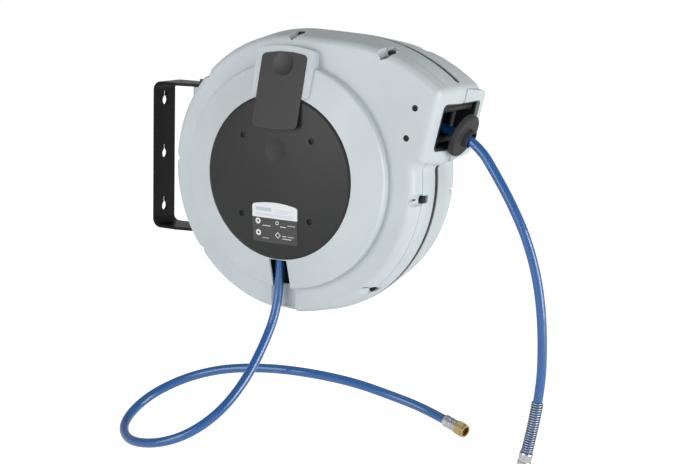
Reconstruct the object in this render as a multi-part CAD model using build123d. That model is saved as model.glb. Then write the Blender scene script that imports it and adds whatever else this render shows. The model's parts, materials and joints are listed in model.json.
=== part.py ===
"""Wall-mounted spring-rewind air hose reel with a quick disconnect coupler on its working hose.

Millimetres. The origin is on the wall side of the bracket plate, in its middle. +X points away from
the wall, -Y is the front of the reel and +Z is up. Most of the reel is drawn in its own front view
(x to the right of the hub, y up, z forwards) and set in place by the FRONT plane at the end.
"""
from build123d import *
import math
import os

# Housing
HUB_X = 242.0            # hub axis from the wall
RIM_R = 182.0            # widest radius, at the middle seam
DRAFT = 8.0              # draft of both shells, degrees
HALF_DEPTH = 62.0        # flange face from the mid plane
WALL = 3.5               # shell wall
SEAM_FRONT = 14.0        # groove between the shells, front edge and rear edge
SEAM_REAR = 5.0
LINE_DEPTH = 40.5        # joint between front shell and housing ring
LINE_GAP = 0.9           # open joint line, and how deep it is cut
LINE_CUT = 1.6
EDGE_R = 9.5             # rounding of the flange edge
CORNER_R = 10.0          # rounding of the outlet box's long corners
GASKET_INSET = 1.2       # how deep the rubber lies in the groove
GASKET_INNER = 6.0

# Outlet box, in the front view
BOX_START_X = 8.0        # where the box's roof leaves the rim
ROOF_MIDDLE = (75.0, 178.3)
BOX_TOP = (213.9, 121.0)
BOX_LOW = (192.0, 26.0)
MOUTH_T = 9.0            # thickness of the one-piece mouth at the end of the box
CHEEK = [(0, 47), (56, 41.5), (56, -40), (0, -46)]   # the mouth's flat rear half, seen along the hose
CHEEK_R = 8.0
MOUTH_CENTRE = (202.8, 73.0)
MOUTH_SHIFT = 3.0        # the opening's middle is this far behind the mid plane
MOUTH_W = 94.0
MOUTH_H = 60.0
MOUTH_TILT = math.degrees(math.atan2(BOX_TOP[0] - BOX_LOW[0], BOX_TOP[1] - BOX_LOW[1]))

# Raised ring and covers, as radius and depth in front of the mid plane
RING_IN = 104.2
RING_OUT = 143.5
RING_TOP = 86.2          # ring's inner edge
RING_SHOULDER = 74.0     # ring's outer edge
SHELF = 84.0             # seat of the round cover
SHELF_T = 3.0
COVER_R = 103.9
COVER_RIM = 87.0
COVER_TOP = 94.5
COVER_T = 2.5
DIMPLE_R = 15.0
DIMPLE_DEPTH = 1.0
SCREW_OFFSET = 50.0      # cover screws, across and up from the hub

# Strip over the top of the raised ring
STRIP_W = 65.0
STRIP_LOW = 63.0
STRIP_HIGH = 156.0
STRIP_D_LOW = 99.5       # depth of its face at the low and the high end
STRIP_D_HIGH = 76.0
STRIP_T = 8.0
STRIP_PROUD = 1.2        # how far it stands out of its surround
SURROUND_HALF = 41.0
SURROUND_TOP = 163.0

# Rim screws: driven from the front through channels in the rim
SCREW_ANGLES = (90, 137, 178, -140, -50, -5)
ROOF_SCREW = (127.0, 154.0, 70.0)   # the screw in the box roof: place and direction
SCREW_R = 171.0
PILLAR_R = 10.0
CHANNEL_R = 9.0
CHANNEL_OUT = 12.0       # channel axis, outside the screw axis
POCKET = 10.0
POCKET_LENGTH = 13.0

# Wall bracket and swivel
STRAP_T = 4.0
STRAP_W = 44.0
STRAP_HALF = 100.0
PIVOT_X = 70.0
PIVOT_R = 5.0
ARM_END_R = 15.0
RUN_CLEAR = 0.05
KEYHOLE_PITCH = 73.0
KEYHOLE_R = 6.5
KEYHOLE_SLOT_R = 3.0
KEYHOLE_RISE = 11.5
LUG_LOW = 70.0
LUG_HIGH = 95.5
BUSH_LOW = 80.0

# Drum and axle
AXLE_R = 9.0
BUSH_R = 11.0
DRUM_R = 156.0
DRUM_HALF = 49.5
FLANGE_T = 3.5
BARREL_R = 62.0
WOUND_R = 105.0
RATCHET_TIP_R = 52.0
RATCHET_ROOT_R = 47.0
RATCHET_TEETH = 24
PAWL_PIVOT = (65.0, 11.3)
PAWL_LENGTH = 24.0
PAWL_REST = 142.1        # direction of the pawl, degrees, with its nose clear of the teeth

# Hoses and their fittings
HOSE_R = 6.0
INLET_X = -5.0           # inlet hose, beside the hub
INLET_D = 70.0           # and in front of the mid plane
INLET_END = -107.0       # height where it leaves the housing
ROLLER_R = 6.0
STOP_R = 28.0
STOP_LEAN = 11.0         # how far the stop leans from the mouth, degrees
STOP_BACK = 5.6
THREAD_R = 5.72          # inlet nut, G1/4
PLUG_R = 5.05            # coupler's plug bore

INLET_ROUTE = [
    (237, -70, -107), (237, -70, -142), (236, -78, -180), (233, -100, -216), (229, -134, -254),
    (218, -172, -287), (190, -202, -314), (147, -213, -331), (98, -205, -338), (62, -169, -331),
    (61, -121, -310), (91, -82, -288), (138, -61, -271), (194, -49, -262), (254, -38, -260),
    (316, -14, -269), (370, 0, -283), (414, 0, -291), (449, -9, -298),
]
WORKING_ROUTE = [
    (453.4, 0, 62.5), (476, 0, 49.5), (497, 0, 21), (521, -1, -14), (544, -1, -56),
    (562, -1, -110), (571, -1, -175), (571.5, -1, -250), (557.5, -1, -321),
]

OUTLET_SCREWS = ((175.0, 98.0), (164.5, 61.0))
PIN_R = 2.5
ROLLERS = {              # place in the mouth's own frame, and which way the roller lies
    "upper_roller": (-14.0, 0.0, 20.0, "across"),
    "lower_roller": (-14.0, 0.0, -20.0, "across"),
    "front_roller": (-29.0, -36.5, 0.0, "upright"),
    "rear_roller": (-29.0, 36.5, 0.0, "upright"),
}

FRONT = Plane(origin=(HUB_X, 0, 0), x_dir=(1, 0, 0), z_dir=(0, -1, 0))
TILT = math.radians(MOUTH_TILT)
MOUTH = Plane(
    origin=(HUB_X + MOUTH_CENTRE[0], MOUTH_SHIFT, MOUTH_CENTRE[1]),
    x_dir=(math.cos(TILT), 0, -math.sin(TILT)),
    z_dir=(math.sin(TILT), 0, math.cos(TILT)),
)
ACROSS = Rot(90, 0, 0)
LOW = Align.MIN
MID = Align.CENTER


# ---- plain shapes -------------------------------------------------------------------------------

def rod(radius, low, high):
    """A round bar on the local Z axis."""
    return Pos(0, 0, low) * Cylinder(radius, high - low, align=(MID, MID, LOW))


def tube(radius, bore, low, high):
    return rod(radius, low, high) - rod(bore, low, high)


def hexagon(flats, low, high):
    """A hexagonal bar on the local Z axis, with turned corners."""
    bar = Pos(0, 0, low) * extrude(RegularPolygon(flats / 2, 6, major_radius=False), high - low)
    corner = flats / math.sqrt(3)
    return bar & (Pos(0, 0, low) * chamfer(Cylinder(corner, high - low, align=(MID, MID, LOW)).edges()
                                           .filter_by(GeomType.CIRCLE), corner - flats / 2))


def lathe(points):
    """A solid turned about the local Z axis from (radius, height) points."""
    return revolve(Plane.XZ * make_face(Polyline(*points, close=True)), Axis.Z)


def block(x_low, x_high, y_low, y_high, z_low, z_high):
    """A box between two corners."""
    size = (x_high - x_low, y_high - y_low, z_high - z_low)
    return Pos(x_low, y_low, z_low) * Box(*size, align=(LOW, LOW, LOW))


def around(shape, angle, radius):
    """A shape moved out along the local X axis, then turned about Z."""
    return Rot(0, 0, angle) * (Pos(radius, 0, 0) * shape)


def axis_plane(start, towards):
    """A plane at start whose Z axis points towards the second point."""
    way = Vector(*towards) - Vector(*start)
    return Plane(origin=start, x_dir=Vector(0, 1, 0).cross(way), z_dir=way)


def together(shapes):
    return Compound(children=list(shapes))


# ---- housing ------------------------------------------------------------------------------------

def outline(inset):
    """The housing seen from the front: the round rim and the outlet box at its upper right."""
    rim_z = math.sqrt(RIM_R ** 2 - BOX_START_X ** 2)
    start = (BOX_START_X, rim_z)
    roof = [TangentArc(start, ROOF_MIDDLE, tangent=(rim_z / RIM_R, -BOX_START_X / RIM_R))]
    roof.append(TangentArc(ROOF_MIDDLE, BOX_TOP, tangent=roof[0] % 1))
    rest = Polyline(BOX_TOP, BOX_LOW, (120, BOX_LOW[1]), (BOX_START_X, 100), start)
    shape = Circle(RIM_R) + make_face(Curve() + [*roof, rest])
    armpit = shape.vertices().sort_by_distance((180, BOX_LOW[1], 0))[0]
    shape = fillet(armpit, 7)
    return offset(shape, -inset, kind=Kind.INTERSECTION) if inset else shape


def tapered_half(inset, depth, edge_r, corner_r):
    """Half of the housing as a full solid, from the seam plane forwards."""
    body = extrude(outline(inset), depth, taper=DRAFT)
    long_corners = [e for e in body.edges() if abs(e.tangent_at(0.5).Z) > 0.9 and e.center().X > 188]
    body = fillet(long_corners, corner_r)
    return fillet(body.faces().sort_by(Axis.Z)[-1].edges(), edge_r)


def full_body(inset):
    """The whole housing as one solid, or its cavity where inset is the wall."""
    front = tapered_half(inset, HALF_DEPTH - SEAM_FRONT - inset, EDGE_R - inset,
                         CORNER_R - inset)
    rear = tapered_half(inset, HALF_DEPTH + SEAM_REAR - inset, EDGE_R - inset,
                        CORNER_R - inset)
    seam = extrude(front.faces().sort_by(Axis.Z)[0], SEAM_FRONT - SEAM_REAR)
    return (
        Pos(0, 0, SEAM_FRONT) * front
        + Pos(0, 0, SEAM_FRONT) * seam
        + Pos(0, 0, SEAM_REAR) * mirror(rear, Plane.XY)
    )


def raised_ring(shelf_bore):
    """The conical ring on each face, with the shelf that the round cover sits on."""
    slope = (RING_TOP - RING_SHOULDER) / (RING_OUT - RING_IN)
    inner_top = RING_TOP - SHELF_T
    back = SHELF - SHELF_T
    meet = RING_IN + (inner_top - back) / slope
    outer = RING_OUT - WALL
    profile = make_face(Polyline(
        (shelf_bore, back), (shelf_bore, SHELF), (RING_IN, SHELF), (RING_IN, RING_TOP),
        (RING_OUT, RING_SHOULDER), (RING_OUT, HALF_DEPTH - WALL), (outer, HALF_DEPTH - WALL),
        (outer, inner_top - slope * (outer - RING_IN)), (meet, back), close=True))
    shoulder = profile.vertices().sort_by_distance((RING_OUT, RING_SHOULDER, 0))[0]
    profile = fillet(shoulder, 3.5)
    return revolve(Plane.XZ * profile, Axis.Z)


def dome(proud):
    """The solid under the round cover's face, grown by proud."""
    arc = ThreePointArc((0, COVER_TOP + proud), (52, COVER_TOP - 1.6 + proud), (101, COVER_RIM + 0.9 + proud))
    rest = Polyline((101, COVER_RIM + 0.9 + proud), (COVER_R, COVER_RIM - 0.8 + proud), (COVER_R, 60),
                    (0, 60), (0, COVER_TOP + proud))
    return revolve(Plane.XZ * make_face(Curve() + [arc, rest]), Axis.Z)


def screw_places():
    """Each rim screw as its place in the front view and the direction of the rim there."""
    for angle in SCREW_ANGLES:
        a = math.radians(angle)
        yield SCREW_R * math.cos(a), SCREW_R * math.sin(a), angle
    yield ROOF_SCREW


def pillars(radius, low, high):
    return [Pos(x, y, 0) * rod(radius, low, high) for x, y, _ in screw_places()]


def channels():
    """The half-round driver channels in the rim and the square pockets at their ends."""
    cuts = []
    for x, y, angle in screw_places():
        front = Pos(CHANNEL_OUT, 0, LINE_DEPTH - 1.5) * (Rot(0, -DRAFT, 0) * rod(CHANNEL_R, 0, 60))
        for path in (front, mirror(front, Plane.XY)):
            cuts.append(Pos(x, y, 0) * (Rot(0, 0, angle) * path))
        pocket = block(-POCKET / 2, 16, -POCKET / 2, POCKET / 2, LINE_DEPTH - POCKET_LENGTH,
                       LINE_DEPTH)
        cuts.append(Pos(x, y, 0) * (Rot(0, 0, angle) * pocket))
    return cuts


def strip_prism(half, low, high, bulge_low, bulge_high):
    """A rounded outline with bowed ends, as a deep prism."""
    edges = [
        Line((-half, low), (-half, high)),
        ThreePointArc((-half, high), (0, high + bulge_high), (half, high)),
        Line((half, high), (half, low)),
        ThreePointArc((half, low), (0, low - bulge_low), (-half, low)),
    ]
    shape = make_face(Curve() + edges)
    return extrude(fillet(shape.vertices(), 6), 120)


def strip_wedge(proud, thick):
    """The slab that the strip is cut from: it slopes back towards the rim."""
    slope = (STRIP_D_HIGH - STRIP_D_LOW) / (STRIP_HIGH - STRIP_LOW)
    low, high = STRIP_LOW - 20, SURROUND_TOP + 20
    face_low = STRIP_D_LOW + slope * (low - STRIP_LOW) + proud
    face_high = STRIP_D_LOW + slope * (high - STRIP_LOW) + proud
    side = make_face(Polyline((low, face_low), (high, face_high), (high, face_high - thick),
                              (low, face_low - thick), close=True))
    return Pos(-60, 0, 0) * extrude(Plane.YZ * side, 120)


def behind_face():
    """Everything behind the round cover and the raised ring, as one solid."""
    return dome(0) + lathe([(0, 50), (RING_IN, 50), (RING_OUT, 50), (RING_OUT, RING_SHOULDER - 2),
                            (RING_OUT - 2, RING_SHOULDER + 0.6), (RING_IN, RING_TOP), (0, RING_TOP)])


def dimple(y, depth_of_face, slope_angle):
    """A shallow round thumb mark."""
    ball_r = (DIMPLE_R ** 2 + DIMPLE_DEPTH ** 2) / (2 * DIMPLE_DEPTH)
    lift = ball_r - DIMPLE_DEPTH
    a = math.radians(slope_angle)
    return Pos(0, y + lift * math.sin(a), depth_of_face + lift * math.cos(a)) * Sphere(ball_r)


def hose_channel(low_d, inset):
    """The shallow channel that leads the inlet hose down over the flange and the rim."""
    half = 18.0 - inset
    middle = -4.0
    over_flange = block(middle - half, middle + half, -185, -RING_OUT + 2, low_d, 70)
    over_rim = block(middle - half, middle + half, -190, -RIM_R + 11 - inset, LINE_DEPTH, 70)
    return over_flange + over_rim


def mouth_zone():
    """The space at the end of the outlet box that belongs to the one-piece mouth."""
    end = FRONT.to_local_coords(MOUTH.location * block(-MOUTH_T, 30, -90, 90, -90, 90))
    return end & block(0, 400, BOX_LOW[1] - 1.5, 400, -200, 200)


def mouth_hole(width, height, low, high, corner):
    hole = extrude(Plane.YZ * RectangleRounded(width, height, corner), high - low)
    return FRONT.to_local_coords(MOUTH.location * (Pos(low, 0, 0) * hole))


def make_cheek():
    """The rear half of the mouth, which stands square to the hose instead of following the draft."""
    profile = make_face(Polyline(*CHEEK, close=True))
    profile = fillet(profile.vertices().sort_by(Axis.X)[-2:], CHEEK_R)
    prism = extrude(Plane.YZ * profile, MOUTH_T - 0.2)
    return FRONT.to_local_coords(MOUTH.location * (Pos(0.2 - MOUTH_T, 0, 0) * prism))


def cover_screw_places():
    return [(sx * SCREW_OFFSET, sy * SCREW_OFFSET) for sx in (-1, 1) for sy in (-1, 1)]


def make_housing():
    body = full_body(0)
    shell = body - full_body(WALL)
    zone = mouth_zone()
    hole = mouth_hole(MOUTH_W, MOUTH_H, -30, 30, 7)
    big = 400

    supports = (Compound(children=pillars(PILLAR_R, -58, 58)) & body)
    backing = block(-25, 17, -168, -142, 54.2, 60) + block(-25, 17, -176, -164, LINE_DEPTH, 57.1)
    backing &= rod(172.3, 30, 61)
    solid = shell + (supports - zone)
    for place in pillars(2.0, -62, 62):
        solid -= place
    for cut in channels():
        solid -= cut

    face_bore = lathe([(0, HALF_DEPTH - 6), (RING_OUT - WALL, HALF_DEPTH - 6),
                       (RING_OUT - WALL, HALF_DEPTH + 4), (0, HALF_DEPTH + 4)])
    solid = solid - face_bore - mirror(face_bore, Plane.XY)

    mouth = (solid & zone) + make_cheek() - hole
    rest = solid - zone - hole
    front = rest & block(-big, big, -big, big, LINE_DEPTH, big)
    ring = rest & block(-big, big, -big, big, SEAM_FRONT, LINE_DEPTH)
    rear = rest & block(-big, big, -big, big, -big, SEAM_REAR)
    ring -= (body - full_body(LINE_CUT)) & block(-big, big, -big, big, LINE_DEPTH - LINE_GAP, LINE_DEPTH)
    ring += Compound(children=pillars(4.5, SEAM_REAR, SEAM_FRONT)) - Compound(
        children=pillars(2.0, SEAM_REAR, SEAM_FRONT))

    front_ring = raised_ring(AXLE_R)
    front = front + mouth + backing + front_ring
    surround = (strip_prism(SURROUND_HALF, 100, SURROUND_TOP - 5, 0.5, 5)
                & strip_wedge(-STRIP_PROUD, 60)) & block(-60, 60, 60, 190, HALF_DEPTH - 1, 120)
    surround -= lathe([(0, 40), (RING_OUT - 5, 40), (RING_OUT - 5, 70), (RING_IN, RING_TOP - 1), (RING_IN, 120),
                       (0, 120)])
    front = (front + surround) - make_strip()
    front = front - hose_channel(58, 0) - block(-12, 14, -150, -RING_IN - 0.5, 61, 100)
    for x, y in OUTLET_SCREWS:
        front -= Pos(x, y, 0) * (rod(2, 50, HALF_DEPTH + 1) + rod(4, HALF_DEPTH - 1.8, HALF_DEPTH + 1))
    rear = rear + mirror(raised_ring(AXLE_R), Plane.XY)
    for x, y in cover_screw_places():
        front -= Pos(x, y, 0) * rod(2, SHELF - 12, SHELF + 6)
        rear -= Pos(x, y, 0) * rod(2, -SHELF - 6, -SHELF + 12)
    return front, ring, rear, body, zone


def make_gasket(zone):
    """The dark rubber band in the groove between the shells."""
    height = SEAM_FRONT - SEAM_REAR
    band = extrude(outline(GASKET_INSET), height) - extrude(outline(GASKET_INNER), height)
    return (Pos(0, 0, SEAM_REAR) * band) - zone


def make_round_cover():
    """A domed round cover with four sunk screw holes."""
    cover = dome(0) & rod(COVER_R, SHELF, COVER_TOP + 1)
    cover -= dome(-COVER_T) & rod(COVER_R - 3, 0, COVER_TOP)
    for x, y in cover_screw_places():
        cover += Pos(x, y, 0) * rod(6, SHELF, 90)
    for x, y in cover_screw_places():
        cover -= Pos(x, y, 0) * (rod(2.1, 80, 100) + rod(4.1, 88.0, 100))
    return cover


def make_cover_screws():
    """Four pan-head screws in each round cover."""
    screws = []
    for x, y in cover_screw_places():
        screw = rod(2.0, SHELF - SHELF_T, 88.2) + rod(3.9, 88.0, 89.6)
        screw -= block(-2.6, 2.6, -0.5, 0.5, 88.9, 92) + block(-0.5, 0.5, -2.6, 2.6, 88.9, 92)
        screws.append(Pos(x, y, 0) * screw)
    return screws + [mirror(s, Plane.XY) for s in screws]


def make_strip():
    """The black strip that runs from the round cover over the raised ring."""
    strip = strip_prism(STRIP_W / 2, STRIP_LOW + 2, STRIP_HIGH - 4, 3, 4) & strip_wedge(0, STRIP_T)
    strip -= behind_face()
    slope = (STRIP_D_LOW - STRIP_D_HIGH) / (STRIP_HIGH - STRIP_LOW)
    mark_y = 141.0
    face = STRIP_D_LOW - slope * (mark_y - STRIP_LOW)
    return strip - dimple(mark_y, face, math.degrees(math.atan(slope)))


def make_label():
    """The rating plate: a thin plate with an arched top that follows the cover's dome."""
    edges = [
        Line((-33, -83), (33, -83)),
        Line((33, -83), (33, -35)),
        ThreePointArc((33, -35), (0, -31), (-33, -35)),
        Line((-33, -35), (-33, -83)),
    ]
    shape = make_face(Curve() + edges)
    prism = extrude(fillet(shape.vertices(), 4), 120)
    return (prism & dome(0.7)) - dome(0)


def make_rim_screws():
    """Long screws with square-shouldered dark heads at the end of each channel."""
    screws = []
    for x, y, angle in screw_places():
        head = block(-3.2, 3.2, -3.8, 3.8, LINE_DEPTH - 8.9, LINE_DEPTH - 5)
        head += Pos(5.5, 0, 0) * block(-2.5, 2.4, -3.8, 3.8, LINE_DEPTH - 8.9, LINE_DEPTH - 1.0)
        screws.append(Pos(x, y, 0) * (Rot(0, 0, angle) * head + rod(2.0, -34, LINE_DEPTH - 8)))
    return screws


# ---- drum ---------------------------------------------------------------------------------------

def make_drum():
    """Every piece of the drum, in the front view."""
    inner = DRUM_HALF - FLANGE_T
    core = lathe([
        (BUSH_R, 1), (BUSH_R, inner - 2), (16, inner - 2), (16, 4), (58, 4), (58, inner),
        (BARREL_R, inner), (BARREL_R, -inner), (58, -inner), (58, 1)])
    nipple_hole = Pos(0, 0, 22) * (Rot(-90, 0, 0) * rod(4, 10, 70))
    port = Pos(0, 0, 22) * (Rot(-90, 0, 0) * tube(4, 2.5, BUSH_R + 0.2, BARREL_R + 3))
    front_flange = lathe([(16, inner - 2), (16, DRUM_HALF), (DRUM_R, DRUM_HALF), (DRUM_R, inner - 3),
                          (DRUM_R - 3, inner - 3), (DRUM_R - 3, inner), (17, inner), (17, inner - 2)])
    rear_flange = lathe([(58, -inner), (DRUM_R - 3, -inner), (DRUM_R - 3, 3 - inner),
                         (DRUM_R, 3 - inner), (DRUM_R, -DRUM_HALF), (58, -DRUM_HALF)])
    spring_cover = lathe([(BUSH_R, -36), (16, -36), (16, 3 - inner), (58, 3 - inner), (58, -DRUM_HALF),
                          (BUSH_R, -DRUM_HALF)])
    bushes = [tube(BUSH_R, AXLE_R + RUN_CLEAR, 32, inner - 2),
              tube(BUSH_R, AXLE_R + RUN_CLEAR, -DRUM_HALF, -37)]
    windows = [around(Cylinder(17, 20), a, 107) for a in range(30, 390, 60)]
    for window in windows:
        front_flange -= Pos(0, 0, inner + 2) * window
        rear_flange -= Pos(0, 0, -inner - 2) * window
    front_flange += lathe([(17, DRUM_HALF), (17, DRUM_HALF + 1), (RATCHET_ROOT_R - 4, DRUM_HALF + 1),
                           (RATCHET_ROOT_R - 4, DRUM_HALF)])
    return {
        "drum_core": core - nipple_hole,
        "drum_outlet_pipe": port,
        "drum_front_flange": front_flange,
        "drum_rear_flange": rear_flange,
        "spring_cover": spring_cover,
        "axle_bushes": together(bushes),
        "power_spring": make_power_spring(),
        "ratchet_ring": make_ratchet(),
        "wound_hose": make_wound_hose(inner) - Pos(0, 0, 22) * (Rot(-90, 0, 0) * rod(4.2, 10, 66)),
    }


def make_power_spring():
    """The flat spiral spring, drawn as half turns that each grow by half a step."""
    first, step, strip, halves = 17.0, 3.0, 0.8, 26
    chains = ([], [])
    ends = []
    for half in range(halves):
        upper = half % 2 == 0
        middle = 0.0 if upper else step / 2
        side = 1 if upper else -1
        for chain, extra in zip(chains, (0.0, strip)):
            r = first + half * step / 2 + extra
            start, top, end = (middle + side * r, 0), (middle, side * r), (middle - side * r, 0)
            chain.append(ThreePointArc(start, top, end))
            if half in (0, halves - 1):
                ends.append(start if half == 0 else end)
    caps = [Line(ends[0], ends[1]), Line(ends[2], ends[3])]
    face = make_face(Curve() + chains[0] + chains[1] + caps)
    return Pos(0, 0, -34) * extrude(face, 32)


def make_ratchet():
    """The toothed ring that the pawl drops into."""
    points = []
    for tooth in range(RATCHET_TEETH):
        a = math.radians(360 * tooth / RATCHET_TEETH)
        b = math.radians(360 * (tooth + 0.12) / RATCHET_TEETH)
        c = math.radians(360 * (tooth + 0.62) / RATCHET_TEETH)
        points.append((RATCHET_ROOT_R * math.cos(a), RATCHET_ROOT_R * math.sin(a)))
        points.append((RATCHET_TIP_R * math.cos(b), RATCHET_TIP_R * math.sin(b)))
        points.append((RATCHET_ROOT_R * math.cos(c), RATCHET_ROOT_R * math.sin(c)))
    gear = extrude(make_face(Polyline(*points, close=True)), 5)
    return Pos(0, 0, DRUM_HALF) * (gear - rod(RATCHET_ROOT_R - 4, -1, 6))


def make_wound_hose(inner):
    """The hose on the drum as one closed ring, ribbed by its outer turns."""
    turns = 7
    pitch = (2 * inner - 1) / turns
    edges = [Line((BARREL_R, -inner + 0.5), (WOUND_R - 4, -inner + 0.5))]
    for turn in range(turns):
        low = -inner + 0.5 + turn * pitch
        edges.append(ThreePointArc((WOUND_R - 4, low), (WOUND_R, low + pitch / 2), (WOUND_R - 4, low + pitch)))
    edges.append(Polyline((WOUND_R - 4, inner - 0.5), (BARREL_R, inner - 0.5), (BARREL_R, -inner + 0.5)))
    return revolve(Plane.XZ * make_face(Curve() + edges), Axis.Z)


# ---- axle and inlet -----------------------------------------------------------------------------

def make_axle():
    """The fixed hollow axle, with grooves for its two O-rings and a port between them."""
    axle = rod(AXLE_R, -SHELF, SHELF) - rod(3.5, 18, 74)
    for low in (14.6, 27.0):
        axle -= tube(AXLE_R + 1, 8.4, low, low + 2.6)
    axle -= Pos(0, 0, 22) * (Rot(-90, 0, 0) * rod(2.5, 0, 12))
    return axle - Pos(0, 0, INLET_D) * (Rot(90, 0, 0) * rod(2.5, 0, 12))


def make_o_rings():
    return [Pos(0, 0, low + 1.3) * Torus(9.65, 1.2) for low in (14.6, 27.0)]


def make_inlet():
    """The banjo on the axle, its barb, the clip, and the hose behind the round cover."""
    down = Pos(INLET_X, 0, INLET_D) * Rot(90, 0, 0)
    banjo = tube(15, AXLE_R, INLET_D - 8, INLET_D + 8)
    banjo += (down * rod(5.5, 8, 26)) - rod(AXLE_R, 0, 100)
    banjo += down * (rod(4.0, 26, 46) + rod(4.0, 30, 31))
    banjo -= down * rod(2.5, 0, 60)
    hose = down * (rod(HOSE_R, 26, -INLET_END) - rod(4.0, 20, 46) - rod(2.5, 20, 46))
    clip = down * tube(8, HOSE_R, 32, 41)
    return banjo, hose, clip


# ---- outlet -------------------------------------------------------------------------------------

def make_outlet_guide():
    """The black frame inside the mouth that carries the four rollers."""
    frame = extrude(Plane.YZ * (RectangleRounded(MOUTH_W, MOUTH_H, 7)
                                - RectangleRounded(MOUTH_W - 7, MOUTH_H - 7, 1.5)), 34)
    guide = MOUTH.location * (Pos(-38, 0, 0) * frame)
    keep_out = MOUTH.location * block(-60, 0, -MOUTH_W / 2 + 1.5, 60, -40, 40)
    for x, y in OUTLET_SCREWS:
        boss = Pos(x, y, 0) * rod(6, 35, HALF_DEPTH - WALL)
        guide += (FRONT.location * boss) - keep_out
    for x, y in OUTLET_SCREWS:
        guide -= FRONT.location * (Pos(x, y, 0) * rod(2, 44, HALF_DEPTH))
    for pin in roller_pins():
        guide -= MOUTH.location * pin
    return guide


def roller_pins():
    pins = []
    for x, y, z, way in ROLLERS.values():
        if way == "across":
            pins.append(Pos(x, y, z) * (ACROSS * rod(PIN_R, -MOUTH_W / 2, MOUTH_W / 2)))
        else:
            pins.append(Pos(x, y, z) * rod(PIN_R, -MOUTH_H / 2, MOUTH_H / 2))
    return pins


def make_roller(name):
    x, y, z, way = ROLLERS[name]
    half = 42.5 if way == "across" else 25.5
    roller = lathe([(PIN_R + RUN_CLEAR, -half), (ROLLER_R, -half), (ROLLER_R - 1, -half + 6),
                    (ROLLER_R - 1, half - 6), (ROLLER_R, half), (PIN_R + RUN_CLEAR, half)])
    turn = ACROSS if way == "across" else Rot(0, 0, 0)
    return MOUTH.location * (Pos(x, y, z) * (turn * roller))


def make_outlet_screws():
    screws = []
    for x, y in OUTLET_SCREWS:
        screw = rod(2, 44, HALF_DEPTH - 1) + rod(4, HALF_DEPTH - 1.8, HALF_DEPTH - 0.4)
        screws.append(Pos(x, y, 0) * (screw - Pos(0, 0, HALF_DEPTH - 1) * hexagon(3, -0.4, 2)))
    return screws


def make_hose_stop():
    """The rubber disc clamped on the hose outside the mouth, with its collar."""
    profile = make_face(Polyline((HOSE_R, 0.6), (STOP_R, 0.6), (STOP_R, 9.6), (12, 11.0),
                                 (11.5, 17), (9.4, 17), (9.0, 11), (HOSE_R, 11), close=True))
    for corner in ((STOP_R, 0.6), (STOP_R, 9.6)):
        profile = fillet(profile.vertices().sort_by_distance((*corner, 0))[0], 3)
    return revolve(Plane.XZ * profile, Axis.Z)


# ---- hoses and fittings -------------------------------------------------------------------------

def cord_path(points):
    """Straight runs joined by arcs as large as the runs allow."""
    corners = [Vector(*p) for p in points]
    radii = []
    for before, here, after in zip(corners, corners[1:], corners[2:]):
        turn = math.radians((here - before).get_angle(after - here))
        shorter = min((here - before).length, (after - here).length)
        radii.append(0.45 * shorter / math.tan(turn / 2))
    print("cord radii", [round(r) for r in radii], "runs",
          [round((b - a).length) for a, b in zip(corners, corners[1:])])
    return FilletPolyline(*points, radius=radii)


def cord_tube(points):
    path = cord_path(points)
    section = Plane(origin=path @ 0, z_dir=path % 0) * Circle(HOSE_R)
    hose = sweep(section, path=path)
    print("cord volume over section times length",
          round(hose.volume / (math.pi * HOSE_R ** 2 * path.length), 4), "length", round(path.length))
    return hose


def make_inlet_end():
    """Ferrule, tail and swivel nut at the end of the inlet hose, along the local Z axis."""
    ferrule = lathe([(4.5, 0), (7.4, 0), (7.8, 1.5), (7.8, 5), (7.3, 6), (7.3, 8), (7.8, 9), (7.8, 12),
                     (7.3, 13), (7.3, 15), (7.8, 16), (7.8, 19), (7.2, 20), (4.5, 20)])
    tail = (rod(4.5, 0.0, 24.2) + rod(5.55, 24.2, 26.8)) - rod(2.8, -1, 30)
    nut = (hexagon(17, 21, 31) + rod(8.0, 31, 34)) - rod(4.5 + RUN_CLEAR, 20, 30)
    nut -= rod(THREAD_R + 0.3, 24, 27) + rod(THREAD_R, 27, 40)
    return ferrule, tail, nut


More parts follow.
